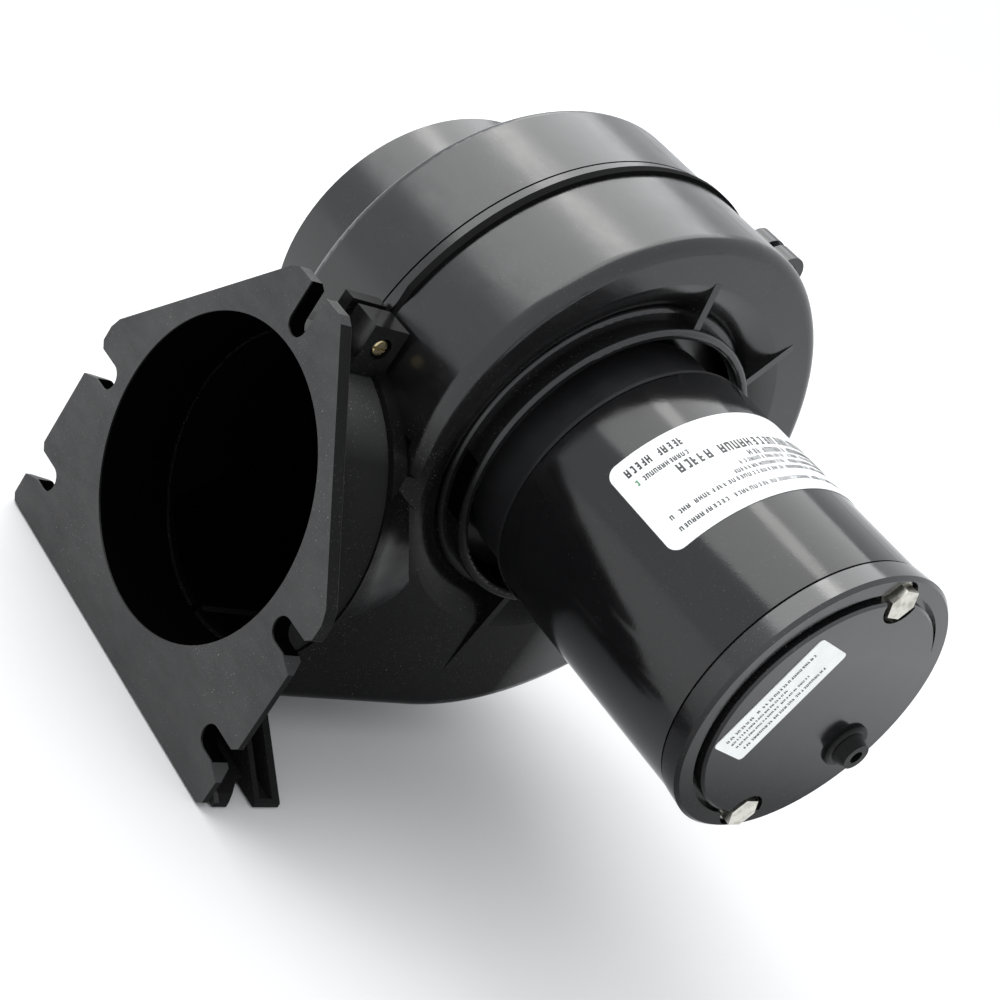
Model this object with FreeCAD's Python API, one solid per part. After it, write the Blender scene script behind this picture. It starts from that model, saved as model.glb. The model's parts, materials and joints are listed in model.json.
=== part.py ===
"""Flange-mounted centrifugal blower with its permanent-magnet motor, in millimetres.

Frame: the origin is the centre of the outlet bore on the flange's mounting face.
-X points out of the outlet, -Y points along the motor, +Z points to the flange's apex.
"""
import FreeCAD, Part
import math
import os
from FreeCAD import Vector

# ---- driving dimensions -------------------------------------------------------------------
OUTLET_R = 38.1                      # 3 inch outlet bore
AXIS_X, AXIS_Z = 81.3, 41.4          # motor and wheel axis, parallel to Y
WALL = 2.6                           # moulded housing wall
HALF_WIDTH = 29.5                    # scroll, from the seam to either side face
SEAM_GAP = 2.1                       # space between the two shells, filled by the gasket
BEAD_RISE = 0.9                      # the gasket stands out of the seam as a dark bead
TRIM_LINE_Y = 4.4                    # fine line scored round the rear shell
FRONT_FILLET, REAR_FILLET = 3.5, 3.0
SPIRAL_CENTRE = (4.0, 1.9)           # centre of the scroll's first arc, from the axis
SPIRAL_ARCS = ((62.7, 90.0), (54.0, 60.0), (74.3, -90.0))   # radius of each arc, angle where it ends
SPIRAL_FOOT_Z = 15.0                 # height at which the first arc ends inside the neck
NECK_TOP_Z = 28.0
NECK_RISE = 4.2                      # rise of the neck's centre line towards the wheel
# x and radius of the neck as it shrinks into the flat-sided scroll and ends in a low step
NECK_PROFILE = ((19.0, 41.0), (25.3, 37.4), (32.5, 34.6), (38.0, 33.0), (43.0, 31.6),
                (45.3, 30.6), (46.4, 28.8))
NECK_X0, NECK_X1 = NECK_PROFILE[0][0], NECK_PROFILE[-1][0]

FLANGE_T = 4.8
FLANGE_HALF_W = 54.0
FLANGE_BOTTOM_Z = -50.3
FLANGE_SHOULDER_Z = 5.2
FLANGE_APEX = (10.0, 52.5)
SLOT_W = 6.5
SLOT_END_Y = 42.4
SLOT_ZS = (-5.7, -37.5)
APEX_SLOT_Z = 40.3
COLLAR_R = 40.4
SPIGOT_R, SPIGOT_END_X = 39.1, 20.4  # thin end of the collar that enters the neck
SHOULDER_R, SHOULDER_X = 42.0, 23.2  # raised shoulder over the top of the neck
FOOT_X0, FOOT_X1 = 15.6, 23.2

INLET_R, INLET_WALL, INLET_END_Y = 43.7, 2.6, 57.6
EYE_R = 36.5                         # inlet eye in the rear wall

LIP_Y, LIP_R, LIP_BORE_R = -32.6, 41.4, 38.6
DISH_R, DISH_Y = 43.4, -25.0         # the side face is dished down to the motor collar
FOOT_RING_Y = -26.5                  # rounded ring round the foot of the collar
DISH_CURVE = ((47.5, -28.1), (55.0, -29.6))   # the dish flattens out towards the rim
WELL_Y, WELL_T = -22.0, 2.4          # floor the motor is bolted to
GUSSETS = ((94.0, 53.0), (50.0, 57.0), (2.5, 58.0), (-45.0, 62.0), (-92.5, 67.0))
GUSSET_T = 2.2

WHEEL_R, WHEEL_Y0, WHEEL_Y1 = 46.0, -17.0, 22.0
BLADES, BLADE_T = 36, 0.9
SHAFT_R = 3.0

BELL_R, BELL_Y = 33.5, -40.0
CAN_R, CAN_T, CAN_Y = 36.0, 1.6, -107.0
CAP_R, CAP_Y = 36.7, -113.6
CAP_FACE_Y = -115.1                  # the cap's centre disc stands proud of its rim
CAP_LIP_R, CAP_GROOVE_R = 32.4, 31.0
BOLT_R, BOLT_RING_R = 2.0, 30.6
BOLT_ANGLES = (93.3, 273.3)
BOLT_HEAD_R, BOLT_WASHER_R, BOLT_POCKET_R = 4.2, 4.7, 5.2
GROMMET_ANGLE, GROMMET_RING_R, GROMMET_R = -24.5, 21.3, 4.4
MOTOR_SCREW_ZS = (-20.0, 20.0)       # screws from the housing floor into the motor, from the axis
RUN_FIT = 0.04                       # radial clearance of the shaft in its bushes

LABEL_ANGLES, LABEL_YS, LABEL_CORNER_R = (30.0, 159.5), (-83.2, -56.4), 3.0
LABEL_T = 0.18
SERIAL_HALF_W, SERIAL_HALF_L, SERIAL_TILT = 6.6, 16.0, 14.0
SERIAL_OFFSET = (-17.9, 2.3)         # centre of the cap's label from the axis

LUG_SCREW_R, LUG_HEAD_R = 1.4, 2.1
LUG_LENGTH, LUG_HALF_W = 14.0, 5.2


# ---- small helpers ------------------------------------------------------------------------
def cylinder_y(radius, y0, y1, x=AXIS_X, z=AXIS_Z):
    """Solid cylinder along Y between two planes."""
    low, high = min(y0, y1), max(y0, y1)
    return Part.makeCylinder(radius, high - low, Vector(x, low, z), Vector(0, 1, 0))


def cylinder_x(radius, x0, x1, y=0.0, z=0.0):
    """Solid cylinder along X between two planes."""
    return Part.makeCylinder(radius, x1 - x0, Vector(x0, y, z), Vector(1, 0, 0))


def ring_y(outer, inner, y0, y1):
    """Plain ring on the motor axis."""
    return cylinder_y(outer, y0, y1).cut(cylinder_y(inner, y0 - 1.0, y1 + 1.0))


def box(x0, x1, y0, y1, z0, z1):
    """Axis-aligned block from its six limits."""
    return Part.makeBox(x1 - x0, y1 - y0, z1 - z0, Vector(x0, y0, z0))


def turned(profile):
    """Solid of revolution about the motor axis from (radius, y) points."""
    points = [Vector(AXIS_X + r, y, AXIS_Z) for r, y in profile]
    face = Part.Face(Part.makePolygon(points + points[:1]))
    return face.revolve(Vector(AXIS_X, 0, AXIS_Z), Vector(0, 1, 0), 360)


def prism_x(points, x0, x1):
    """Block with a (y, z) outline between two planes of constant x."""
    wire = Part.makePolygon([Vector(x0, y, z) for y, z in points + points[:1]])
    return Part.Face(wire).extrude(Vector(x1 - x0, 0, 0))


def about_axis(shape, angle):
    """Turn a shape about the motor axis; angles run from +X towards +Z."""
    copy = shape.copy()
    copy.rotate(Vector(AXIS_X, 0, AXIS_Z), Vector(0, 1, 0), -angle)
    return copy


def moved_y(shape, distance):
    """Copy of a shape shifted along Y."""
    copy = shape.copy()
    copy.translate(Vector(0, distance, 0))
    return copy


def group(shapes):
    """Several separate solids in one node."""
    return Part.makeCompound(shapes)


# ---- scroll housing -----------------------------------------------------------------------
def spiral_centres():
    """Centre of each arc of the scroll; neighbouring arcs share a tangent."""
    x, z = AXIS_X + SPIRAL_CENTRE[0], AXIS_Z + SPIRAL_CENTRE[1]
    centres = [(x, z)]
    for (radius, end), (following, _) in zip(SPIRAL_ARCS, SPIRAL_ARCS[1:]):
        turn = math.radians(end)
        x += (radius - following) * math.cos(turn)
        z += (radius - following) * math.sin(turn)
        centres.append((x, z))
    return centres


def spiral_outline(inset, end_x):
    """Closed (x, z) outline of the scroll at y = 0, its wall moved in by inset."""
    centres = spiral_centres()

    def at(centre, radius, angle):
        turn = math.radians(angle)
        reach = radius - inset
        return Vector(centre[0] + reach * math.cos(turn), 0, centre[1] + reach * math.sin(turn))

    drop = (SPIRAL_FOOT_Z - centres[0][1]) / (SPIRAL_ARCS[0][0] - inset)
    angle = 180.0 - math.degrees(math.asin(drop))
    start = at(centres[0], SPIRAL_ARCS[0][0], angle)
    edges = []
    for centre, (radius, end) in zip(centres, SPIRAL_ARCS):
        points = [at(centre, radius, turn) for turn in (angle, 0.5 * (angle + end), end)]
        edges.append(Part.Arc(*points).toShape())
        angle = end
    bottom = points[-1]
    corners = [bottom, Vector(end_x, 0, bottom.z), Vector(end_x, 0, 0.0), start]
    for a, b in zip(corners, corners[1:]):
        edges.append(Part.LineSegment(a, b).toShape())
    return Part.Wire(edges)


def dish_tool(depth):
    """Everything in front of the dished side face, the dish moved in by depth."""
    (mid_r, mid_y), (rim_r, rim_y) = DISH_CURVE
    at = [Vector(AXIS_X + r, y + depth, AXIS_Z)
          for r, y in ((DISH_R, DISH_Y), (mid_r, mid_y), (rim_r, rim_y))]
    corners = [at[2], Vector(AXIS_X + rim_r, -36.0, AXIS_Z), Vector(AXIS_X, -36.0, AXIS_Z),
               Vector(AXIS_X, at[0].y, AXIS_Z), at[0]]
    edges = [Part.Arc(*at).toShape()]
    for a, b in zip(corners, corners[1:]):
        edges.append(Part.LineSegment(a, b).toShape())
    section = Part.Face(Part.Wire(edges))
    return section.revolve(Vector(AXIS_X, 0, AXIS_Z), Vector(0, 1, 0), 360)


def scroll_body(inset, end_x):
    """The flat-sided spiral drum, without the neck."""
    half = HALF_WIDTH - inset
    body = Part.Face(spiral_outline(inset, end_x)).extrude(Vector(0, 2 * half, 0))
    body.translate(Vector(0, -half, 0))
    return body


def neck_bulge(inset):
    """Slanted cone that turns the round outlet into the flat-sided scroll."""
    sections = []
    for x, radius in NECK_PROFILE:
        centre = Vector(x, 0, NECK_RISE * (x - NECK_X0) / (NECK_X1 - NECK_X0))
        sections.append(Part.Wire(Part.makeCircle(radius - inset, centre, Vector(1, 0, 0))))
    return Part.makeLoft(sections, True, False)


def housing_envelope(inset, fillets=False):
    """Outer skin of scroll and neck together, moved in by inset."""
    end_x = NECK_X0 + inset
    body = scroll_body(inset, end_x)
    if fillets:
        for side, radius in ((-1, FRONT_FILLET), (1, REAR_FILLET)):
            rim = [e for e in body.Edges if is_rim_edge(e, side)]
            body = body.makeFillet(radius, rim)
    floor_z = spiral_centres()[-1][1] - SPIRAL_ARCS[-1][0]
    half = HALF_WIDTH - inset
    neck = box(end_x, 42.0, -half, half, floor_z + FRONT_FILLET + inset, NECK_TOP_Z - inset)
    return body.fuse(neck_bulge(inset)).fuse(neck)


def is_rim_edge(edge, side):
    """True for the spiral and floor edges of the drum's front (-1) or rear (+1) face."""
    flat = all(abs(v.Y - side * HALF_WIDTH) < 0.01 for v in edge.Vertexes)
    curved = edge.Curve.TypeId == "Part::GeomCircle"
    floor = all(v.Z < -30.0 for v in edge.Vertexes)
    return flat and (curved or floor)


def housing_cavity():
    """Air space of scroll and neck, with the side wall dished in around the motor."""
    well = cylinder_y(DISH_R - 3.0, -36.0, WELL_Y + WELL_T)
    return housing_envelope(WALL).cut(dish_tool(WALL)).cut(well)


def clamping_lug(front_y, rounded):
    """Whole lug in its own frame, screw along Y: X is tangential, Z points outward."""
    back_y = front_y + LUG_LENGTH
    block = box(-LUG_HALF_W, LUG_HALF_W, front_y, back_y, -12.0, 0.0 if rounded else LUG_HALF_W + 0.2)
    if rounded:
        block = block.fuse(cylinder_y(LUG_HALF_W, front_y, back_y, 0, 0))
    block = block.cut(cylinder_y(LUG_HEAD_R + 0.6, front_y - 1.0, front_y + 1.8, 0, 0))
    block = block.cut(cylinder_y(LUG_SCREW_R + 0.15, front_y - 1.0, back_y + 1.0, 0, 0))
    pocket = hexagon(3.3, back_y - 2.6, back_y + 1.0)
    return block.cut(pocket)


def hexagon(across_r, y0, y1):
    """Hexagonal bar along Y about the local origin."""
    turns = [math.radians(60 * k) for k in range(6)]
    points = [Vector(across_r * math.cos(a), y0, across_r * math.sin(a)) for a in turns]
    return Part.Face(Part.makePolygon(points + points[:1])).extrude(Vector(0, y1 - y0, 0))


# each lug: screw centre x and z, direction its outer side faces, front plane, rounded or square
LUGS = ((16.35, 46.9, 90.0, -9.5, False), (129.9, 94.4, 47.5, -7.0, True),
        (142.8, -6.7, -38.0, -7.0, True), (28.0, -44.9, -90.0, -7.0, True))


def at_lug(shape, lug):
    """Place a lug-frame shape at one lug, its local +Z turned to face outward."""
    x, z, facing = lug[:3]
    copy = shape.copy()
    copy.rotate(Vector(0, 0, 0), Vector(0, 1, 0), 90.0 - facing)
    copy.translate(Vector(x, 0, z))
    return copy


def housing_shell():
    """Both shells in one piece, before the seam splits them."""
    shell = housing_envelope(0.0, fillets=True).cut(dish_tool(0.0))
    return shell.fuse(neck_shoulder()).cut(housing_cavity())


def neck_shoulder():
    """Raised shoulder over the top of the neck, cut off at a slant on both sides."""
    ring = cylinder_x(SHOULDER_R, NECK_X0, SHOULDER_X)
    corners = [(18.0, 22.8), (24.0, 30.0), (24.0, 60.0), (18.0, 60.0)]
    points = [Vector(x, -60, z) for x, z in corners]
    above = Part.Face(Part.makePolygon(points + points[:1])).extrude(Vector(0, 120, 0))
    return ring.common(above)


def motor_collar():
    """Rounded lip around the motor with a flat ring at its foot, its inner well and floor."""
    lip = ring_y(LIP_R, LIP_BORE_R, LIP_Y, WELL_Y + WELL_T)
    top = [e for e in lip.Edges if abs(e.CenterOfMass.y - LIP_Y) < 0.01 and e.BoundBox.XLength > 70]
    lip = lip.makeFillet(1.2, top)
    foot = ring_y(DISH_R, LIP_BORE_R + 1.0, FOOT_RING_Y, WELL_Y)
    shoulder = [e for e in foot.Edges
                if abs(e.CenterOfMass.y - FOOT_RING_Y) < 0.01 and e.BoundBox.XLength > 2 * DISH_R - 1.0]
    lip = lip.fuse(foot.makeFillet(1.2, shoulder))
    floor = ring_y(LIP_BORE_R + 1.0, 8.0, WELL_Y, WELL_Y + WELL_T)
    for z in MOTOR_SCREW_ZS:
        floor = floor.cut(cylinder_y(2.2, WELL_Y - 1, WELL_Y + 4, AXIS_X, AXIS_Z + z))
    return lip.fuse(floor)


def gusset(angle, reach):
    """Triangular web from the motor lip out to the side face."""
    low, top = DISH_Y + 1.0, LIP_Y + 1.2
    points = [Vector(LIP_R - 0.8, top, 0), Vector(reach, -HALF_WIDTH - 0.05, 0),
              Vector(reach, -HALF_WIDTH + 1.5, 0), Vector(LIP_R - 0.8, low, 0)]
    web = Part.Face(Part.makePolygon(points + points[:1])).extrude(Vector(0, 0, GUSSET_T))
    web.translate(Vector(AXIS_X, 0, AXIS_Z - GUSSET_T / 2))
    return about_axis(web, angle)


def front_housing():
    """Motor-side shell: half scroll, motor collar, gussets and lug halves."""
    half = housing_shell().common(box(-50, 250, -60, -SEAM_GAP / 2, -100, 200))
    half = half.cut(cylinder_y(LIP_BORE_R + 0.5, -40, WELL_Y + WELL_T + 3))
    half = half.fuse(motor_collar())
    for angle, reach in GUSSETS:
        half = half.fuse(gusset(angle, reach))
    return with_lugs(half, -20.0, -SEAM_GAP / 2)


def rear_housing():
    """Inlet-side shell: half scroll, inlet eye, hose collar and lug halves."""
    half = housing_shell().common(box(-50, 250, SEAM_GAP / 2, 60, -100, 200))
    half = half.cut(trim_line())
    half = half.cut(cylinder_y(EYE_R, 20, 40))
    inner = INLET_R - INLET_WALL
    hose_collar = turned([(inner, HALF_WIDTH + 2.5), (inner, INLET_END_Y - 1.0), (inner + 1.0, INLET_END_Y),
                          (INLET_R - 0.9, INLET_END_Y), (INLET_R, INLET_END_Y - 0.9),
                          (INLET_R, HALF_WIDTH - 1.0), (EYE_R, HALF_WIDTH - 1.0),
                          (EYE_R, HALF_WIDTH), (EYE_R + 2.0, HALF_WIDTH + 2.0)])
    half = half.fuse(hose_collar)
    return with_lugs(half, SEAM_GAP / 2, 20.0)


def trim_line():
    """Fine parting line scored round the rear shell, just behind the seam."""
    slab = box(NECK_X0 + 3.0, 250, TRIM_LINE_Y - 0.25, TRIM_LINE_Y + 0.25, -100, 200)
    return slab.cut(housing_envelope(0.45))


def with_lugs(half, y0, y1):
    """Join the lug halves between two planes to a shell, clear of the gasket and the collar."""
    keep_out = housing_envelope(1.0).fuse(cylinder_x(COLLAR_R + 0.4, 0.0, NECK_X0))
    for lug in LUGS:
        part = clamping_lug(*lug[3:]).common(box(-20, 20, y0, y1, -20, 20))
        half = half.fuse(at_lug(part, lug).cut(keep_out))
    return half.cut(cylinder_x(SPIGOT_R + 0.05, NECK_X0 - 1.0, SPIGOT_END_X + 0.2))


def housing_gasket():
    """Seal that fills the seam and stands out of it as a low bead."""
    ring = housing_envelope(-BEAD_RISE).cut(housing_cavity())
    return ring.common(box(SHOULDER_X + 0.4, 250, -SEAM_GAP / 2, SEAM_GAP / 2, -100, 200))


def lug_screws():
    """Brass pan-head screws through the four lugs."""
    head = cylinder_y(LUG_HEAD_R, 0.2, 1.8, 0, 0)
    rim = [e for e in head.Edges if abs(e.CenterOfMass.y - 0.2) < 0.01 and e.BoundBox.XLength > 1]
    head = head.makeFillet(0.6, rim)
    slot = box(-4, 4, -1.0, 0.8, -0.3, 0.3)
    screw = head.fuse(cylinder_y(LUG_SCREW_R, 1.8, LUG_LENGTH - 0.1, 0, 0)).cut(slot)
    return group([at_lug(moved_y(screw, lug[3]), lug) for lug in LUGS])


def lug_nuts():
    """Hexagon nuts in the rear lug pockets."""
    nut = hexagon(3.15, LUG_LENGTH - 2.5, LUG_LENGTH - 0.1)
    nut = nut.cut(cylinder_y(LUG_SCREW_R, 0.0, LUG_LENGTH, 0, 0))
    return group([at_lug(moved_y(nut, lug[3]), lug) for lug in LUGS])


# ---- outlet flange ------------------------------------------------------------------------
def side_slot(side, z):
    """Open-ended slot in one side edge, its mouth chamfered above and eased below."""
    inner = SLOT_END_Y + SLOT_W / 2
    edge, far = FLANGE_HALF_W, FLANGE_HALF_W + 5.0
    low, high = z - SLOT_W / 2, z + SLOT_W / 2
    ends = sorted((side * inner, side * far))
    slot = box(-1, 20, ends[0], ends[1], low, high)
    slot = slot.fuse(cylinder_x(SLOT_W / 2, -1, 20, side * inner, z))
    lower_lip = [(side * (edge - 4.8), low), (side * (edge + 1.0), low), (side * (edge + 1.0), low - 2.4)]
    upper_lip = [(side * (edge - 1.6), high), (side * (edge + 1.0), high), (side * (edge + 1.0), high + 2.6)]
    for lip in (lower_lip, upper_lip):
        slot = slot.fuse(prism_x(lip, -1, 20))
    return slot


def flange_outline():
    """House-shaped outline: flat bottom, upright sides, sloping shoulders and a cut-off apex."""
    apex_y, apex_z = FLANGE_APEX
    right = [(FLANGE_HALF_W - 1.5, FLANGE_BOTTOM_Z), (FLANGE_HALF_W, FLANGE_BOTTOM_Z + 1.5),
             (FLANGE_HALF_W, FLANGE_SHOULDER_Z - 2.0), (FLANGE_HALF_W - 1.4, FLANGE_SHOULDER_Z + 1.2),
             (apex_y + 1.2, apex_z - 1.2), (apex_y - 1.0, apex_z)]
    left = [(-y, z) for y, z in reversed(right)]
    return right + left


def flange_foot(side):
    """Hollow foot behind a lower corner, joined to the plate by a sloping web."""
    y_in, y_out = 31.0, FLANGE_HALF_W - 0.2
    z0 = FLANGE_BOTTOM_Z
    profile = [(y_in, z0), (y_out, z0), (y_out, z0 + 1.2), (y_in, z0 + 15.0)]
    outline = [(side * y, z) for y, z in profile]
    block = prism_x(outline, FLANGE_T - 1.0, FOOT_X1)
    ends = sorted((side * (y_in + 2.2), side * (y_out - 1.0)))
    hollow = box(FOOT_X0 + 1.6, FOOT_X1 - 2.2, ends[0], ends[1], z0 + 1.0, z0 + 30)
    notch_points = [Vector(7.6, 0, z0 - 1), Vector(FOOT_X0, 0, z0 - 1), Vector(FOOT_X0, 8.0, z0 - 1),
                    Vector(14.0, 8.0, z0 - 1)]
    notch = Part.Face(Part.makePolygon(notch_points + notch_points[:1])).extrude(Vector(0, 0, 30))
    notch.translate(Vector(0, -FLANGE_HALF_W - 0.2, 0))
    if side > 0:
        notch = notch.mirror(Vector(0, 0, 0), Vector(0, 1, 0))
    shelf = box(FLANGE_T, FOOT_X0, -80, 80, z0 + 2.4, z0 + 30)
    return block.cut(hollow).cut(notch).cut(shelf)


def edge_bevel(side):
    """Waste of the bevel behind one side edge, which leaves a narrow land at the front."""
    edge, land = side * FLANGE_HALF_W, 1.6
    depth = FLANGE_T - land
    low = FLANGE_BOTTOM_Z - 1.0
    corners = [(land, edge), (FLANGE_T + 0.1, edge - side * (depth + 0.1)), (FLANGE_T + 0.1, edge + side),
               (land, edge + side)]
    points = [Vector(x, y, low) for x, y in corners]
    height = SLOT_ZS[0] - SLOT_W / 2 - low
    return Part.Face(Part.makePolygon(points + points[:1])).extrude(Vector(0, 0, height))


def outlet_flange():
    """Mounting plate, round collar and two feet, moulded in one piece."""
    plate = prism_x(flange_outline(), 0.0, FLANGE_T)
    back = [e for e in plate.Edges if all(abs(v.X - FLANGE_T) < 0.01 for v in e.Vertexes)]
    flange = plate.makeChamfer(1.6, back).cut(edge_bevel(-1)).cut(edge_bevel(1))
    flange = flange.fuse(cylinder_x(COLLAR_R, 0.5, NECK_X0 - 0.05))
    flange = flange.fuse(cylinder_x(SPIGOT_R, 0.5, SPIGOT_END_X))
    for side in (-1, 1):
        flange = flange.fuse(flange_foot(side))
    flange = flange.cut(cylinder_x(OUTLET_R, -1, SPIGOT_END_X + 1))
    for side in (-1, 1):
        for z in SLOT_ZS:
            flange = flange.cut(side_slot(side, z))
    round_z = APEX_SLOT_Z + SLOT_W / 2
    apex = box(-1, FLANGE_T + 0.1, -SLOT_W / 2, SLOT_W / 2, round_z, 60)
    apex = apex.fuse(cylinder_x(SLOT_W / 2, -1, FLANGE_T + 0.1, 0, round_z))
    return flange.cut(apex)


# ---- wheel --------------------------------------------------------------------------------
def impeller_disc():
    """Back plate of the wheel, thickened towards its hub."""
    return turned([(6.0, WHEEL_Y0), (WHEEL_R, WHEEL_Y0), (WHEEL_R, WHEEL_Y0 + 1.4),
                   (24.0, WHEEL_Y0 + 1.4), (12.0, WHEEL_Y0 + 6.0), (6.0, WHEEL_Y0 + 6.0)])


def impeller_blades():
    """Forward-curved blades between the back plate and the end ring."""
    y0, y1 = WHEEL_Y0 + 1.4, WHEEL_Y1 - 1.8
    chord, sag = 8.0, 1.6
    outer_x = AXIS_X + WHEEL_R - 0.4
    inner_x = outer_x - chord

    def edge_arc(shift):
        ends = [(inner_x, -2.0 + shift), ((inner_x + outer_x) / 2, -sag + shift), (outer_x, 2.0 + shift)]
        return [Vector(x, y0, AXIS_Z + z) for x, z in ends]

    low, high = edge_arc(-BLADE_T / 2), edge_arc(BLADE_T / 2)
    wire = Part.Wire([Part.Arc(*low).toShape(), Part.LineSegment(low[2], high[2]).toShape(),
                      Part.Arc(*reversed(high)).toShape(), Part.LineSegment(high[0], low[0]).toShape()])
    blade = Part.Face(wire).extrude(Vector(0, y1 - y0, 0))
    return group([about_axis(blade, 360.0 * k / BLADES) for k in range(BLADES)])


def impeller_ring():
    """End ring that ties the blade tips together on the inlet side."""
    return ring_y(WHEEL_R, WHEEL_R - 8.6, WHEEL_Y1 - 1.8, WHEEL_Y1)


def impeller_hub():
    """Metal hub pressed into the back plate, bored for the shaft and tapped for a set screw."""
    hub = ring_y(6.0, SHAFT_R, WHEEL_Y0 - 1.0, WHEEL_Y0 + 12.0)
    tapped = Part.makeCylinder(1.5, 8, Vector(AXIS_X, WHEEL_Y0 + 8.5, AXIS_Z), Vector(0, 0, 1))
    return hub.cut(tapped)


def hub_set_screw():
    """Grub screw that bears on the shaft."""
    screw = Part.makeCylinder(1.5, 3.4, Vector(AXIS_X, WHEEL_Y0 + 8.5, AXIS_Z + SHAFT_R), Vector(0, 0, 1))
    face = cylinder_y(SHAFT_R, WHEEL_Y0, WHEEL_Y0 + 20)
    return screw.cut(face)


# ---- motor --------------------------------------------------------------------------------
def motor_shaft():
    """Shaft from the commutator end bush to the wheel."""
    return cylinder_y(SHAFT_R, -111.0, WHEEL_Y0 + 12.5)


def drive_end_bell():
    """Die-cast end bell that spigots into the can and bolts to the housing floor."""
    bell = turned([(7.4, WELL_Y - 0.8), (30.0, WELL_Y - 0.8), (BELL_R, WELL_Y - 4.0), (BELL_R, BELL_Y),
                   (CAN_R - 0.2, BELL_Y), (CAN_R - 0.2, BELL_Y - 0.9), (CAN_R - CAN_T, BELL_Y - 0.9),
                   (CAN_R - CAN_T, BELL_Y - 4.0), (29.0, BELL_Y - 4.0), (27.0, BELL_Y + 2.0),
                   (12.0, WELL_Y - 8.0), (7.4, WELL_Y - 8.0)])
    for z in MOTOR_SCREW_ZS:
        bell = bell.cut(cylinder_y(1.6, WELL_Y - 9, WELL_Y, AXIS_X, AXIS_Z + z))
    for angle in BOLT_ANGLES:
        bell = bell.cut(bolt_hole(BOLT_R, BELL_Y - 5, BELL_Y + 8.0, angle))
    return bell


def bolt_hole(radius, y0, y1, angle, ring_r=BOLT_RING_R):
    """Cylinder on the through-bolt circle."""
    turn = math.radians(angle)
    return cylinder_y(radius, y0, y1, AXIS_X + ring_r * math.cos(turn), AXIS_Z + ring_r * math.sin(turn))


def motor_can():
    """Drawn steel tube that carries the magnets."""
    can = ring_y(CAN_R, CAN_R - CAN_T, CAN_Y, BELL_Y - 0.9)
    front = [e for e in can.Edges
             if abs(e.CenterOfMass.y - BELL_Y + 0.9) < 0.01 and e.BoundBox.XLength > 2 * CAN_R - 1.0]
    return can.makeFillet(0.6, front)


def end_cap():
    """Moulded end cap: flared rim, ring groove, raised centre disc and two bolt pockets."""
    inner = CAN_R - CAN_T
    back_y = CAP_Y + 4.2
    cap = turned([(6.0, CAP_FACE_Y), (CAP_GROOVE_R - 0.6, CAP_FACE_Y), (CAP_GROOVE_R, CAP_FACE_Y + 0.6),
                  (CAP_GROOVE_R, CAP_Y + 1.6), (CAP_LIP_R, CAP_Y + 1.6), (CAP_LIP_R, CAP_Y),
                  (CAP_R - 0.8, CAP_Y), (CAP_R, CAP_Y + 0.9), (CAP_R - 0.5, CAN_Y - 0.6),
                  (CAN_R - 0.4, CAN_Y), (inner, CAN_Y), (inner, CAN_Y + 3.0), (inner - 2.4, CAN_Y + 3.0),
                  (inner - 2.4, back_y), (9.0, back_y), (9.0, CAP_Y + 7.4), (6.0, CAP_Y + 7.4)])
    cap = cap.fuse(cylinder_y(7.0, CAP_FACE_Y, CAP_Y + 2.4))
    for angle in BOLT_ANGLES:
        boss = bolt_hole(4.8, CAP_Y + 1.8, CAN_Y + 2.9, angle, 0.93 * BOLT_RING_R)
        cap = cap.fuse(boss.common(cylinder_y(inner - 0.1, CAP_Y, CAN_Y + 3)))
        cap = cap.cut(bolt_hole(BOLT_POCKET_R, CAP_FACE_Y - 1, CAP_Y + 1.8, angle))
        cap = cap.cut(bolt_hole(BOLT_R + 0.15, CAP_Y - 1, CAN_Y + 6, angle))
    return cap.cut(grommet_hole())



def grommet_place():
    """Centre of the lead grommet in the cap's face."""
    turn = math.radians(GROMMET_ANGLE)
    return AXIS_X + GROMMET_RING_R * math.cos(turn), AXIS_Z + GROMMET_RING_R * math.sin(turn)


def grommet_hole():
    """Hole through the end cap for the lead grommet."""
    x, z = grommet_place()
    return cylinder_y(GROMMET_R - 1.2, CAP_Y - 5, CAP_Y + 8, x, z)


def lead_grommet():
    """Rubber grommet with a low round body that stands off the cap."""
    x, z = grommet_place()
    flange = cylinder_y(GROMMET_R + 1.6, CAP_FACE_Y - 1.3, CAP_FACE_Y, x, z)
    rim = [e for e in flange.Edges
           if abs(e.CenterOfMass.y - CAP_FACE_Y + 1.3) < 0.01 and e.BoundBox.XLength > 1]
    flange = flange.makeFillet(0.9, rim)
    body = Part.makeCone(GROMMET_R, GROMMET_R - 0.9, 3.0, Vector(x, CAP_FACE_Y - 1.2, z), Vector(0, -1, 0))
    plug = cylinder_y(GROMMET_R - 1.2, CAP_FACE_Y, CAP_Y + 5.4, x, z)
    bore = cylinder_y(1.7, CAP_Y - 8, CAP_Y + 8, x, z)
    return flange.fuse(body).fuse(plug).cut(bore)


def through_bolts():
    """Two hexagon-headed bolts that clamp cap, can and drive-end bell."""
    head_y = CAP_Y + 1.8
    bolts = []
    for angle in BOLT_ANGLES:
        turn = math.radians(angle)
        place = Vector(AXIS_X + BOLT_RING_R * math.cos(turn), 0, AXIS_Z + BOLT_RING_R * math.sin(turn))
        washer = cylinder_y(BOLT_WASHER_R, head_y - 0.6, head_y, 0, 0)
        shank = cylinder_y(BOLT_R, head_y - 0.6, BELL_Y + 7.0, 0, 0)
        bolt = hexagon(BOLT_HEAD_R, head_y - 3.4, head_y - 0.5).fuse(washer).fuse(shank)
        bolt.translate(place)
        bolts.append(bolt)
    return group(bolts)


def motor_screws():
    """Screws that hold the motor to the housing floor, heads on the wheel side."""
    screws = []
    for z in MOTOR_SCREW_ZS:
        head = cylinder_y(3.2, WELL_Y + WELL_T, WELL_Y + WELL_T + 1.6, AXIS_X, AXIS_Z + z)
        shank = cylinder_y(1.6, WELL_Y - 7.5, WELL_Y + WELL_T, AXIS_X, AXIS_Z + z)
        screws.append(head.fuse(shank))
    return group(screws)


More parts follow.
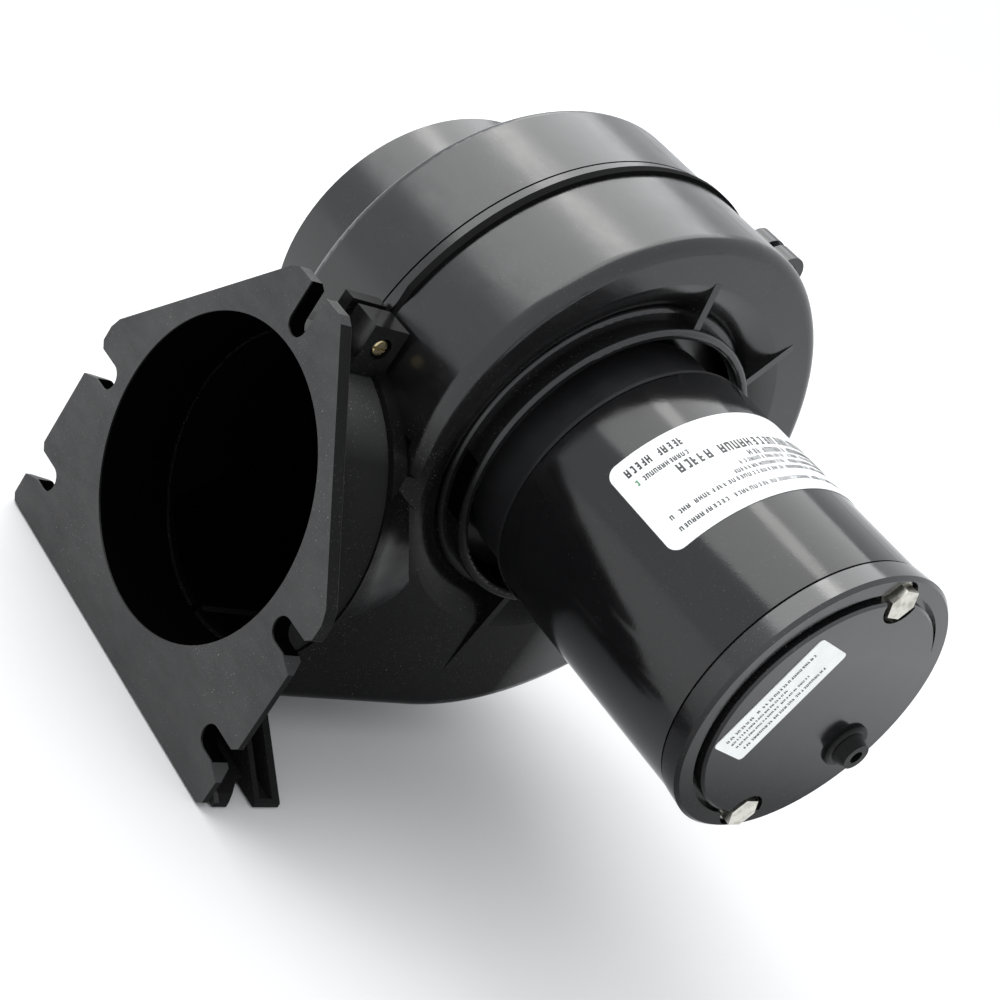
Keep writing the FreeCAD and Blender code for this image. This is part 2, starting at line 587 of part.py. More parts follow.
def mount_gasket():
    """Rubber sheet between the motor and the housing floor."""
    sheet = ring_y(29.5, 8.4, WELL_Y - 0.8, WELL_Y)
    for z in MOTOR_SCREW_ZS:
        sheet = sheet.cut(cylinder_y(2.0, WELL_Y - 2, WELL_Y + 1, AXIS_X, AXIS_Z + z))
    return sheet


def field_magnets():
    """Two arc magnets bonded inside the can."""
    ring = ring_y(CAN_R - CAN_T, 25.0, -92.0, -50.0)
    side = box(AXIS_X + 9.0, AXIS_X + 60, -95, -45, AXIS_Z - 60, AXIS_Z + 60)
    right = ring.common(side)
    return group([right, about_axis(right, 180.0)])


def armature_core():
    """Slotted steel stack on the shaft."""
    core = ring_y(24.0, SHAFT_R, -90.0, -52.0)
    slot = box(AXIS_X + 13.0, AXIS_X + 26.0, -91, -51, AXIS_Z - 2.0, AXIS_Z + 2.0)
    for k in range(10):
        core = core.cut(about_axis(slot, 36.0 * k))
    return core


def armature_windings():
    """Copper coils: one bundle in each slot, joined by end turns."""
    parts = []
    bundle = box(AXIS_X + 13.2, AXIS_X + 22.6, -92.5, -49.5, AXIS_Z - 1.8, AXIS_Z + 1.8)
    ends = [ring_y(22.0, 8.0, -96.0, -90.4), ring_y(22.0, 8.0, -51.6, -47.0)]
    coil = ends[0].fuse(ends[1])
    for k in range(10):
        parts.append(about_axis(bundle, 36.0 * k))
    return coil.multiFuse(parts)


def commutator():
    """Copper commutator with milled gaps between its bars."""
    bars = ring_y(9.0, SHAFT_R, -105.4, -97.0)
    gap = box(AXIS_X + 7.6, AXIS_X + 10.0, -107, -98.5, AXIS_Z - 0.3, AXIS_Z + 0.3)
    for k in range(10):
        bars = bars.cut(about_axis(gap, 36.0 * k + 18.0))
    return bars


def bush(y0, y1, outer):
    """Oil-soaked plain bush with a running fit on the shaft."""
    return ring_y(outer, SHAFT_R + RUN_FIT, y0, y1)


def brush_plate():
    """Insulating plate that carries the brush holders."""
    plate = ring_y(31.8, 11.0, -107.0, -105.4)
    for angle in BOLT_ANGLES:
        plate = plate.cut(bolt_hole(5.2, -110, -100, angle, 0.93 * BOLT_RING_R))
    x, z = grommet_place()
    return plate.cut(cylinder_y(4.0, -110, -100, x, z))


def brush_pair(shape):
    """A brush-side shape drawn at +X and copied to -X."""
    return group([shape, about_axis(shape, 180.0)])


def brush_holders():
    """Two brass tubes that guide the carbon brushes."""
    tube = box(AXIS_X + 11.4, AXIS_X + 27.0, -105.4, -98.4, AXIS_Z - 4.0, AXIS_Z + 4.0)
    bore = box(AXIS_X + 11.0, AXIS_X + 26.0, -104.8, -99.0, AXIS_Z - 3.2, AXIS_Z + 3.2)
    return brush_pair(tube.cut(bore))


def carbon_brushes():
    """Carbon brushes with faces shaped to the commutator."""
    brush = box(AXIS_X + 8.4, AXIS_X + 19.0, -104.7, -99.1, AXIS_Z - 3.1, AXIS_Z + 3.1)
    return brush_pair(brush.cut(cylinder_y(9.3, -110, -90)))


def brush_springs():
    """Flat coil springs behind the brushes, each drawn as a ring-shaped stack."""
    spring = Part.makeCylinder(2.6, 7.0, Vector(AXIS_X + 19.0, -101.9, AXIS_Z), Vector(1, 0, 0))
    core = Part.makeCylinder(1.6, 9.0, Vector(AXIS_X + 18.5, -101.9, AXIS_Z), Vector(1, 0, 0))
    return brush_pair(spring.cut(core))


# ---- labels -------------------------------------------------------------------------------
def rating_label():
    """Thin printed label wrapped round the can, with rounded corners."""
    skin = ring_y(CAN_R + LABEL_T, CAN_R, *LABEL_YS)
    label = skin.common(sector(*LABEL_ANGLES, -90.0, -50.0))
    swing = math.degrees(LABEL_CORNER_R / CAN_R)
    for angle, out in zip(LABEL_ANGLES, (-1, 1)):
        for y, along in zip(LABEL_YS, (-1, 1)):
            corner = label_corner(y - along * LABEL_CORNER_R, out, along)
            label = label.cut(about_axis(corner, angle - out * swing))
    return label


def label_corner(y, out, along):
    """Waste outside a rounded corner, drawn at +X: a square block minus a round post."""
    size = 2.0 * LABEL_CORNER_R
    ys, zs = sorted((y, y + along * size)), sorted((AXIS_Z, AXIS_Z + out * size))
    block = box(AXIS_X + CAN_R - 4.0, AXIS_X + CAN_R + 4.0, *ys, *zs)
    return block.cut(cylinder_x(LABEL_CORNER_R, AXIS_X + 20.0, AXIS_X + 50.0, y, AXIS_Z))


def sector(first, last, y0, y1):
    """Pie slice about the motor axis between two angles."""
    reach = 60.0
    count = max(2, int((last - first) / 30.0) + 1)
    points = [Vector(AXIS_X, y0, AXIS_Z)]
    for k in range(count + 1):
        turn = math.radians(first + (last - first) * k / count)
        points.append(Vector(AXIS_X + reach * math.cos(turn), y0, AXIS_Z + reach * math.sin(turn)))
    return Part.Face(Part.makePolygon(points + points[:1])).extrude(Vector(0, y1 - y0, 0))


def serial_label():
    """Narrow label with rounded corners on the end cap."""
    half_w, half_l = SERIAL_HALF_W, SERIAL_HALF_L
    strip = box(-half_w, half_w, CAP_FACE_Y - LABEL_T, CAP_FACE_Y, -half_l, half_l)
    strip = strip.makeFillet(1.2, [e for e in strip.Edges if e.BoundBox.YLength > 0.1])
    strip.rotate(Vector(0, 0, 0), Vector(0, 1, 0), SERIAL_TILT)
    strip.translate(Vector(AXIS_X + SERIAL_OFFSET[0], 0, AXIS_Z + SERIAL_OFFSET[1]))
    return strip


NODES = {
    "front_housing": front_housing,
    "rear_housing": rear_housing,
    "housing_gasket": housing_gasket,
    "outlet_flange": outlet_flange,
    "lug_screws": lug_screws,
    "lug_nuts": lug_nuts,
    "impeller_disc": impeller_disc,
    "impeller_blades": impeller_blades,
    "impeller_ring": impeller_ring,
    "impeller_hub": impeller_hub,
    "hub_set_screw": hub_set_screw,
    "motor_shaft": motor_shaft,
    "armature_core": armature_core,
    "armature_windings": armature_windings,
    "commutator": commutator,
    "drive_end_bush": lambda: bush(WELL_Y - 8.0, WELL_Y - 1.0, 7.4),
    "cap_end_bush": lambda: bush(CAP_Y + 2.6, CAP_Y + 7.0, 6.0),
    "drive_end_bell": drive_end_bell,
    "motor_can": motor_can,
    "field_magnets": field_magnets,
    "end_cap": end_cap,
    "brush_plate": brush_plate,
    "brush_holders": brush_holders,
    "carbon_brushes": carbon_brushes,
    "brush_springs": brush_springs,
    "through_bolts": through_bolts,
    "motor_screws": motor_screws,
    "mount_gasket": mount_gasket,
    "lead_grommet": lead_grommet,
    "rating_label": rating_label,
    "serial_label": serial_label,
}

os.makedirs("parts", exist_ok=True)
for name, make in NODES.items():
    shape = make()
    solids = shape.Solids
    print(f"{name:20s} solids {len(solids):3d} valid {shape.isValid()} volume {shape.Volume:10.1f}")
    shape = solids[0] if len(solids) == 1 else Part.makeCompound(solids)
    shape.exportStep(f"parts/{name}.step")
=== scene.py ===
import json
import math
import random

import bmesh
import bpy
from mathutils import Matrix, Vector


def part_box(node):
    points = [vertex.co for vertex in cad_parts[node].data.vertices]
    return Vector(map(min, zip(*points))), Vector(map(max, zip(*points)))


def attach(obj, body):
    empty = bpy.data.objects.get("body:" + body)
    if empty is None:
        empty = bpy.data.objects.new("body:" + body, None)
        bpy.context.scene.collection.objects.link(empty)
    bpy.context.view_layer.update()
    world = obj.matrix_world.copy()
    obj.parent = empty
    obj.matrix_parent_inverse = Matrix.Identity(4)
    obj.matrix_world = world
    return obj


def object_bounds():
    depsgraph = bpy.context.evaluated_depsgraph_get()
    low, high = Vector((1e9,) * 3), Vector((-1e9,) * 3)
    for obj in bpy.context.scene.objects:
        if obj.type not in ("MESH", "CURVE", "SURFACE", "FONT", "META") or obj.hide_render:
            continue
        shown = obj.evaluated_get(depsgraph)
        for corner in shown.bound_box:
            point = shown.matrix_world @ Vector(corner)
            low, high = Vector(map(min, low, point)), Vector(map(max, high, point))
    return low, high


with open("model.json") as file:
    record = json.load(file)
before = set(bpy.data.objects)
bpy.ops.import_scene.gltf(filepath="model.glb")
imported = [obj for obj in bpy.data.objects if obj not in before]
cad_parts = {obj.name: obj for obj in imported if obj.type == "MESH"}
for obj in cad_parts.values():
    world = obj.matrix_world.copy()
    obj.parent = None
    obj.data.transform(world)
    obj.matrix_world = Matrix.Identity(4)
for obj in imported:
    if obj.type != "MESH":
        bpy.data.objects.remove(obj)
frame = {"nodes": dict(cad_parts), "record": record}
cad_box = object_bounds()
nodes = frame["nodes"]

AXIS = Vector((0.0813, 0.0, 0.0414))      # motor axis, parallel to Y

# where shade is painted into the flange's recesses, in metres
BORE_R = 0.0383                           # just outside the outlet bore
FACE_DEPTH = 0.0005                       # the front face keeps its own colour down to here
SLOT_ZS = (-0.0057, -0.0375)              # middles of the side slots
SLOT_HALF_W = 0.0034                      # just over half a slot's width
SLOT_END_Y, APEX_SLOT_Z = 0.0423, 0.0402  # inner ends of the side slots and of the one at the apex
PLATE_T = 0.0052                          # just behind the flange's plate
FEET_Z = -0.030
SIDE_NORMAL = (0.45, 0.7)                 # sideways part of the normal where a side face's painted shade sets in
SIDE_SHADE = 0.72

# inner surfaces of the housing, painted with shade, in metres: a negative outward part means that a wall
# looks inwards
NECK_END_X, NECK_Z = 0.046, 0.004
COLLAR_X, COLLAR_Y = 0.037, 0.0298        # the hose collar lies beyond these, beside the neck
SCROLL_X, SCROLL_Z = 0.085, 0.043
INNER_HALF_W = 0.0283                     # the inner walls lie closer to the seam than this
NECK_OUTWARD, DRUM_OUTWARD, SIDE_OUTWARD = -0.004, -0.008, -0.01
WALL_NORMAL = 0.15                        # a drum wall's normal leans less than this towards the axis

# gloss of the housing and the cap, varied as painted shade and painted reflection: where it fades in, in
# metres, and its lowest and highest level
HOUSING_HIGH_Z, HOUSING_RIGHT_X, HOUSING_REAR_Y = (0.030, 0.045), (0.100, 0.116), (-0.002, 0.001)
HOUSING_DULL, HOUSING_BRIGHT = 0.04, 0.5
CAP_GLOSS_Z, CAP_GLOSS_CURVE = (0.012, 0.058), 1.6
CAP_DULL, CAP_BRIGHT = 0.05, 0.83

# look of painted shade in a recess
PAINTED_SHADE_COLOUR = (0.0012, 0.0012, 0.0012, 1.0)
PAINTED_SHADE_ROUGHNESS, PAINTED_SHADE_GLOSS = 0.95, 0.0


# ---- node helpers -------------------------------------------------------------------------
MIX_SOCKETS = {"FLOAT": (2, 3, 0), "RGBA": (6, 7, 2)}     # a Mix node's two inputs and its output


class Graph:
    """Small wrapper that adds and links shader nodes."""

    def __init__(self, name):
        self.material = bpy.data.materials.new(name)
        self.material.use_nodes = True
        self.tree = self.material.node_tree
        self.tree.nodes.clear()
        self.out = self.add("ShaderNodeOutputMaterial")
        self.shader = self.add("ShaderNodeBsdfPrincipled")
        self.link(self.shader, "BSDF", self.out, "Surface")
        self.coord = self.add("ShaderNodeTexCoord")

    def add(self, kind, **settings):
        node = self.tree.nodes.new(kind)
        for key, value in settings.items():
            setattr(node, key, value)
        return node

    def link(self, a, out, b, into):
        self.tree.links.new(a.outputs[out], b.inputs[into])

    def noise(self, scale, detail=4.0, rough=0.55, stretch=None):
        node = self.add("ShaderNodeTexNoise")
        node.inputs["Scale"].default_value = scale
        node.inputs["Detail"].default_value = detail
        node.inputs["Roughness"].default_value = rough
        if stretch is None:
            self.link(self.coord, "Object", node, "Vector")
        else:
            mapping = self.add("ShaderNodeMapping")
            mapping.inputs["Scale"].default_value = stretch
            self.link(self.coord, "Object", mapping, "Vector")
            self.link(mapping, "Vector", node, "Vector")
        return node

    def ramp(self, source, out, low, high, colour_low, colour_high):
        node = self.add("ShaderNodeValToRGB")
        node.color_ramp.elements[0].position = low
        node.color_ramp.elements[1].position = high
        node.color_ramp.elements[0].color = (*colour_low, 1.0)
        node.color_ramp.elements[1].color = (*colour_high, 1.0)
        self.link(source, out, node, "Fac")
        return node

    def remap(self, source, out, low, high, to_low, to_high):
        node = self.add("ShaderNodeMapRange")
        node.inputs["From Min"].default_value = low
        node.inputs["From Max"].default_value = high
        node.inputs["To Min"].default_value = to_low
        node.inputs["To Max"].default_value = to_high
        self.link(source, out, node, "Value")
        return node

    def mix(self, factor, source, colour):
        """Mix from a (node, output) source to a plain colour; gives a (node, output) pair."""
        node = self.add("ShaderNodeMix", data_type="RGBA")
        a, b, result = MIX_SOCKETS["RGBA"]
        self.link(*factor, node, "Factor")
        self.link(*source, node, a)
        node.inputs[b].default_value = (*colour, 1.0)
        return node, result

    def math(self, operation, a, b=0.0, c=0.0):
        """Math node; each operand is a number or a (node, output) pair."""
        node = self.add("ShaderNodeMath", operation=operation)
        for index, value in enumerate((a, b, c)):
            if isinstance(value, tuple):
                self.link(*value, node, index)
            else:
                node.inputs[index].default_value = value
        return node, "Value"

    def axes(self):
        """Object coordinates as three (node, output) pairs."""
        split = self.add("ShaderNodeSeparateXYZ")
        self.link(self.coord, "Object", split, "Vector")
        return (split, "X"), (split, "Y"), (split, "Z")

    def paint_shade(self, mask):
        """Paint shade: turn the surface dull and nearly black where the mask is one."""
        for socket, value in (("Base Color", PAINTED_SHADE_COLOUR), ("Roughness", PAINTED_SHADE_ROUGHNESS),
                              ("Specular IOR Level", PAINTED_SHADE_GLOSS)):
            into = self.shader.inputs[socket]
            kind = "RGBA" if socket == "Base Color" else "FLOAT"
            mix = self.add("ShaderNodeMix", data_type=kind)
            a, b, result = MIX_SOCKETS[kind]
            if into.is_linked:
                self.tree.links.new(into.links[0].from_socket, mix.inputs[a])
            else:
                mix.inputs[a].default_value = into.default_value
            mix.inputs[b].default_value = value
            self.link(*mask, mix, "Factor")
            self.tree.links.new(mix.outputs[result], into)

    def bump(self, source, out, strength, distance, below=None):
        node = self.add("ShaderNodeBump")
        node.inputs["Strength"].default_value = strength
        node.inputs["Distance"].default_value = distance
        self.link(source, out, node, "Height")
        if below is not None:
            self.link(below, "Normal", node, "Normal")
        return node


# ---- materials ----------------------------------------------------------------------------
# noise scales, in waves per metre
DRIFT, SMEAR, DUST, DUST_PATCH, GRAIN, WAVE = 38.0, 90.0, 2600.0, 60.0, 1700.0, 55.0
TINT, BLOOM, BRUSH = 120.0, 420.0, 900.0
MOTTLE, RIPPLE = 260.0, 150.0

# the stretch of a noise's values over which a tint, a roughness or a mask runs from low to high
SPREAD = (0.3, 0.7)
DRIFT_SPREAD, TINT_SPREAD, STAIN_SPREAD = (0.3, 0.75), (0.3, 0.72), (0.3, 0.8)
DUST_SPREAD, PATCH_SPREAD, BLOOM_SPREAD = (0.66, 0.74), (0.35, 0.7), (0.5, 0.7)

# how deep the bumps are, in metres
GRAIN_DEPTH, WAVE_DEPTH, BRUSH_DEPTH, RIPPLE_DEPTH = 0.0002, 0.002, 0.0001, 0.0004

SMEAR_STRETCH = (1.0, 1.0, 3.0)
DUST_COLOUR = (0.42, 0.41, 0.39)
BLACK, WHITE = (0, 0, 0), (1, 1, 1)
FILM_ROUGHNESS, FILM_RIPPLE = (0.3, 0.42), 0.08
INK_ROUGHNESS, INK_GRAIN = (0.4, 0.55), 0.1


def moulded(name, dark, light, rough, grain, speckle=0.0, wave=0.0, ior=1.5, gloss=None, painted_shade=None):
    """Moulded plastic: slow colour drift, uneven gloss, fine grain and pale specks of dust."""
    g = Graph(name)
    g.shader.inputs["IOR"].default_value = ior
    out = g.ramp(g.noise(DRIFT, 3.0), "Fac", *DRIFT_SPREAD, dark, light), "Color"
    smear = g.noise(SMEAR, 6.0, 0.65, SMEAR_STRETCH)
    g.link(g.remap(smear, "Fac", *SPREAD, *rough), "Result", g.shader, "Roughness")
    if speckle:
        dots = g.ramp(g.noise(DUST, 2.0, 0.5), "Fac", *DUST_SPREAD, BLACK, WHITE), "Color"
        where = g.remap(g.noise(DUST_PATCH, 4.0), "Fac", *PATCH_SPREAD, 0.0, speckle), "Result"
        out = g.mix(g.math("MULTIPLY", dots, where), out, DUST_COLOUR)
    g.link(*out, g.shader, "Base Color")
    normal = g.bump(g.noise(GRAIN, 3.0), "Fac", grain, GRAIN_DEPTH)
    if wave:
        normal = g.bump(g.noise(WAVE, 2.0), "Fac", wave, WAVE_DEPTH, normal)
    g.link(normal, "Normal", g.shader, "Normal")
    # a painted shade or painted reflection in the level of gloss, where given
    if gloss is not None:
        g.link(*gloss(g), g.shader, "Specular IOR Level")
    # painted shade: dull and near-black where the mask says
    if painted_shade is not None:
        g.paint_shade(painted_shade(g))
    return g.material


def housing_painted_shade_gloss(g):
    """Level of gloss, lowered low down on the motor side towards the outlet as painted shade on its
    reflections.
    """
    x, y, z = g.axes()
    high = g.remap(*z, *HOUSING_HIGH_Z, 0.0, 1.0), "Result"
    right = g.remap(*x, *HOUSING_RIGHT_X, 0.0, 1.0), "Result"
    behind = g.remap(*y, *HOUSING_REAR_Y, 0.0, 1.0), "Result"
    keep = g.math("MAXIMUM", high, g.math("MAXIMUM", right, behind))
    return g.math("MULTIPLY_ADD", keep, HOUSING_BRIGHT - HOUSING_DULL, HOUSING_DULL)


def cap_painted_reflection_gloss(g):
    """Level of gloss, raised towards the top of the cap as a painted reflection."""
    z = g.axes()[2]
    high = g.remap(*z, *CAP_GLOSS_Z, 0.0, 1.0), "Result"
    return g.math("MULTIPLY_ADD", g.math("POWER", high, CAP_GLOSS_CURVE), CAP_BRIGHT - CAP_DULL, CAP_DULL)


def normal_axes(g):
    """Surface normal as three (node, output) pairs."""
    split = g.add("ShaderNodeSeparateXYZ")
    g.link(g.add("ShaderNodeNewGeometry"), "Normal", split, "Vector")
    return (split, "X"), (split, "Y"), (split, "Z")


def flange_painted_shade_mask(g):
    """Mask of painted shade: one in the outlet bore and the slots, less on the side faces and the feet."""
    x, y, z = g.axes()
    ny = normal_axes(g)[1]
    radius = g.math("POWER", g.math("ADD", g.math("MULTIPLY", y, y), g.math("MULTIPLY", z, z)), 0.5)
    mask = g.math("LESS_THAN", radius, BORE_R)
    across = g.math("ABSOLUTE", y)
    for height in SLOT_ZS:
        level = g.math("COMPARE", z, height, SLOT_HALF_W)
        slot = g.math("MULTIPLY", level, g.math("GREATER_THAN", across, SLOT_END_Y))
        mask = g.math("MAXIMUM", mask, slot)
    level = g.math("LESS_THAN", across, SLOT_HALF_W)
    slot = g.math("MULTIPLY", level, g.math("GREATER_THAN", z, APEX_SLOT_Z))
    mask = g.math("MAXIMUM", mask, slot)
    mask = g.math("MULTIPLY", mask, g.math("GREATER_THAN", x, FACE_DEPTH))
    sides = g.remap(*g.math("ABSOLUTE", ny), *SIDE_NORMAL, 0.0, SIDE_SHADE), "Result"
    foot = g.math("MULTIPLY", g.math("GREATER_THAN", x, PLATE_T), g.math("LESS_THAN", z, FEET_Z))
    return g.math("MAXIMUM", g.math("MAXIMUM", mask, sides), g.math("MULTIPLY", foot, SIDE_SHADE))


def housing_inside_painted_shade(g):
    """Mask of painted shade: one on the inner surfaces of the neck and the drum."""
    x, y, z = g.axes()
    nx, ny, nz = normal_axes(g)
    beside = g.math("MULTIPLY", g.math("GREATER_THAN", x, COLLAR_X), g.math("GREATER_THAN", y, COLLAR_Y))
    beside = g.math("MULTIPLY", beside, g.math("LESS_THAN", g.math("ABSOLUTE", ny), WALL_NORMAL))
    in_neck = g.math("SUBTRACT", g.math("LESS_THAN", x, NECK_END_X), beside)
    neck_z = g.math("SUBTRACT", z, NECK_Z)
    neck = g.math("ADD", g.math("MULTIPLY", y, ny), g.math("MULTIPLY", neck_z, nz))
    from_axis = g.math("SUBTRACT", x, SCROLL_X), g.math("SUBTRACT", z, SCROLL_Z)
    drum = g.math("ADD", g.math("MULTIPLY", from_axis[0], nx), g.math("MULTIPLY", from_axis[1], nz))
    drum = g.math("MULTIPLY", g.math("LESS_THAN", drum, DRUM_OUTWARD),
                  g.math("LESS_THAN", g.math("ABSOLUTE", y), INNER_HALF_W))
    drum = g.math("MULTIPLY", drum, g.math("GREATER_THAN", x, NECK_END_X))
    drum = g.math("MULTIPLY", drum, g.math("LESS_THAN", g.math("ABSOLUTE", ny), WALL_NORMAL))
    neck = g.math("MULTIPLY", g.math("LESS_THAN", neck, NECK_OUTWARD), in_neck)
    sides = g.math("LESS_THAN", g.math("MULTIPLY", y, ny), SIDE_OUTWARD)
    return g.math("MAXIMUM", sides, g.math("MAXIMUM", neck, drum))


def metal(name, dark, light, rough, grain, stretch=(1.0, 1.0, 1.0), tarnish=None):
    """Bare metal: drifting tint, uneven gloss, brushed or cast grain and an optional dull bloom."""
    g = Graph(name)
    g.shader.inputs["Metallic"].default_value = 1.0
    out = g.ramp(g.noise(TINT, 4.0), "Fac", *TINT_SPREAD, dark, light), "Color"
    if tarnish is not None:
        amount = g.ramp(g.noise(BLOOM, 5.0, 0.6), "Fac", *BLOOM_SPREAD, BLACK, WHITE), "Color"
        out = g.mix(amount, out, tarnish)
    g.link(*out, g.shader, "Base Color")
    brushed = g.noise(BRUSH, 3.0, 0.5, stretch)
    g.link(g.remap(brushed, "Fac", *SPREAD, *rough), "Result", g.shader, "Roughness")
    g.link(g.bump(brushed, "Fac", grain, BRUSH_DEPTH), "Normal", g.shader, "Normal")
    return g.material


def paper(name, tint, stain):
    """Printed film: near white, a little mottled, semi-gloss."""
    g = Graph(name)
    mottle = g.noise(MOTTLE, 4.0)
    g.link(g.ramp(mottle, "Fac", *STAIN_SPREAD, tint, stain), "Color", g.shader, "Base Color")
    g.link(g.remap(mottle, "Fac", *SPREAD, *FILM_ROUGHNESS), "Result", g.shader, "Roughness")
    ripple = g.noise(RIPPLE, 2.0)
    g.link(g.bump(ripple, "Fac", FILM_RIPPLE, RIPPLE_DEPTH), "Normal", g.shader, "Normal")
    return g.material


# after the name: dark and light tint, range of roughness and strength of the grain; then, on a
# moulding, the dust and the slow wave of its surface, and on a metal the stretch of its brushing
MATERIALS = {
    # the housing: painted shade, with duller gloss low down on the motor side and near-black inner
    # surfaces
    "housing": moulded("housing_black", (0.004, 0.004, 0.0043), (0.0065, 0.0065, 0.0068), (0.16, 0.28),
                       0.05, 0.25, 0.06, ior=1.58, gloss=housing_painted_shade_gloss, painted_shade=housing_inside_painted_shade),
    # the flange's bore, slots, side faces and feet get painted shade
    "flange": moulded("flange_black", (0.018, 0.018, 0.0185), (0.032, 0.032, 0.032), (0.5, 0.7), 0.3,
                      0.8, 0.05, painted_shade=flange_painted_shade_mask),
    "seal": moulded("seal_rubber", (0.0025, 0.0025, 0.0025), (0.005, 0.005, 0.005), (0.85, 0.95), 0.2,
                    ior=1.2),
    "screw_brass": metal("screw_brass", (0.62, 0.5, 0.27), (0.8, 0.7, 0.45), (0.22, 0.4), 0.1,
                         tarnish=(0.35, 0.27, 0.14)),
    "wheel": moulded("wheel_black", (0.008, 0.008, 0.009), (0.016, 0.016, 0.017), (0.35, 0.5), 0.1, 0.3),
    "hub_metal": metal("hub_aluminium", (0.5, 0.5, 0.52), (0.68, 0.68, 0.7), (0.25, 0.4), 0.1, (1, 12, 1)),
    "steel": metal("steel_ground", (0.42, 0.42, 0.44), (0.6, 0.6, 0.62), (0.18, 0.32), 0.08, (1, 12, 1)),
    "laminations": metal("steel_laminations", (0.2, 0.2, 0.22), (0.36, 0.36, 0.38), (0.35, 0.5), 0.3,
                         (1, 30, 1)),
    "copper": metal("copper_wire", (0.55, 0.23, 0.1), (0.75, 0.38, 0.2), (0.22, 0.36), 0.3, (1, 8, 1)),
    "bronze": metal("bronze_bush", (0.42, 0.27, 0.13), (0.58, 0.4, 0.2), (0.35, 0.5), 0.2),
    "end_bell": moulded("bell_paint", (0.01, 0.01, 0.011), (0.018, 0.018, 0.019), (0.3, 0.45), 0.3),
    "can_paint": moulded("can_paint", (0.004, 0.004, 0.0044), (0.007, 0.007, 0.0074), (0.09, 0.15), 0.05,
                         0.15, 0.04),
    "magnet": moulded("ferrite", (0.03, 0.03, 0.032), (0.05, 0.05, 0.052), (0.5, 0.7), 0.4),
    # the cap: painted reflection, its gloss raised towards the top
    "cap_plastic": moulded("cap_black", (0.0055, 0.0055, 0.006), (0.009, 0.009, 0.0095), (0.1, 0.2), 0.05,
                           0.3, 0.04, gloss=cap_painted_reflection_gloss),
    "insulator": moulded("insulator_board", (0.16, 0.09, 0.045), (0.24, 0.14, 0.07), (0.45, 0.6), 0.3),
    "carbon": moulded("carbon", (0.01, 0.01, 0.01), (0.03, 0.03, 0.03), (0.45, 0.65), 0.4),
    "zinc": metal("zinc_bolt", (0.52, 0.515, 0.47), (0.7, 0.69, 0.62), (0.28, 0.42), 0.15,
                  tarnish=(0.4, 0.39, 0.33)),
    "grommet": moulded("grommet_rubber", (0.0022, 0.0022, 0.0022), (0.005, 0.005, 0.005), (0.4, 0.55), 0.2,
                       ior=1.3),
    "label": paper("label_film", (0.86, 0.88, 0.87), (0.78, 0.80, 0.79)),
}

slot_of = {s["node"]: s["material_slot"] for s in frame["record"]["subparts"]}
for name, obj in nodes.items():
    material = MATERIALS[slot_of[name]]
    obj.data.materials.clear()
    obj.data.materials.append(material)


# ---- printed rows on the labels -----------------------------------------------------------
CAN_SKIN_R = 0.03618                      # outer face of the rating label
INK_T = 0.00003
SPACE_CHANCE = 0.06
CHARACTER_W = 0.76                        # a character's width over the pitch of its row
SERIAL_TILT = math.radians(14.0)
SERIAL_SEED, RATING_SEED, GREEN_SEED = 70, 40, 61

# strokes of a made-up character in a unit cell, and the characters they combine into
STROKES = {"left": (0.0, 0.0, 0.34, 1.0), "right": (0.66, 0.0, 1.0, 1.0), "top": (0.34, 0.78, 0.66, 1.0),
           "middle": (0.34, 0.39, 0.66, 0.61), "foot": (0.34, 0.0, 0.66, 0.22)}
MARKS = (("left", "foot", "right", "middle"), ("left", "foot", "middle"), ("left", "middle", "right"),
         ("right", "top", "foot"), ("left", "right", "foot"), ("right", "top", "middle", "foot"),
         ("left", "top", "right"), ("right", "foot", "middle"))


def ink(name, dark, light):
    """Printer's ink: dark, slightly uneven and semi-matte."""
    return moulded(name, dark, light, INK_ROUGHNESS, INK_GRAIN)


def add_slab(build, low, high):
    """Closed thin prism between two matching rings of points."""
    a = [build.verts.new(p) for p in low]
    b = [build.verts.new(p) for p in high]
    build.faces.new(list(reversed(a)))
    build.faces.new(b)
    for k in range(len(a)):
        nxt = (k + 1) % len(a)
        build.faces.new((a[k], a[nxt], b[nxt], b[k]))


def print_row(build, place, start, end, height, pitch, seed):
    """One row of made-up characters; place(u, v, lift) is a point of the printed surface."""
    pick = random.Random(seed)
    at = start
    while at + pitch < end:
        if pick.random() > SPACE_CHANCE:
            for stroke in pick.choice(MARKS):
                u0, v0, u1, v1 = STROKES[stroke]
                corners = [(u0, v0), (u1, v0), (u1, v1), (u0, v1)]
                flat = [(at + CHARACTER_W * pitch * u, height * (v - 0.5)) for u, v in corners]
                low, high = ([place(u, v, lift) for u, v in flat] for lift in (0.0, INK_T))
                add_slab(build, low, high)
        at += pitch


def printed_piece(name, build, material):
    """Object of one label's print, which rides on the blower."""
    bmesh.ops.recalc_face_normals(build, faces=build.faces)
    mesh = bpy.data.meshes.new(name)
    build.to_mesh(mesh)
    build.free()
    mesh.materials.append(material)
    piece = bpy.data.objects.new(name, mesh)
    bpy.context.scene.collection.objects.link(piece)
    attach(piece, "blower")


# rows of the rating label: y of the row's middle and its height in metres, then its left and right
# ends and its character pitch in degrees round the can
RATING_ROWS = ((-0.0601, 0.0022, 154.0, 129.0, 2.2), (-0.0636, 0.0013, 150.5, 131.0, 1.6),
               (-0.0665, 0.0027, 139.0, 62.0, 2.9), (-0.0697, 0.0017, 115.0, 60.0, 2.1),
               (-0.0717, 0.0012, 119.0, 42.0, 1.6), (-0.0737, 0.0012, 124.0, 48.0, 1.6),
               (-0.0757, 0.0012, 152.5, 44.0, 1.7), (-0.0793, 0.0012, 152.5, 40.0, 1.7))
GREEN_ROWS = ((-0.0636, 0.0015, 153.6, 150.9, 1.8),)


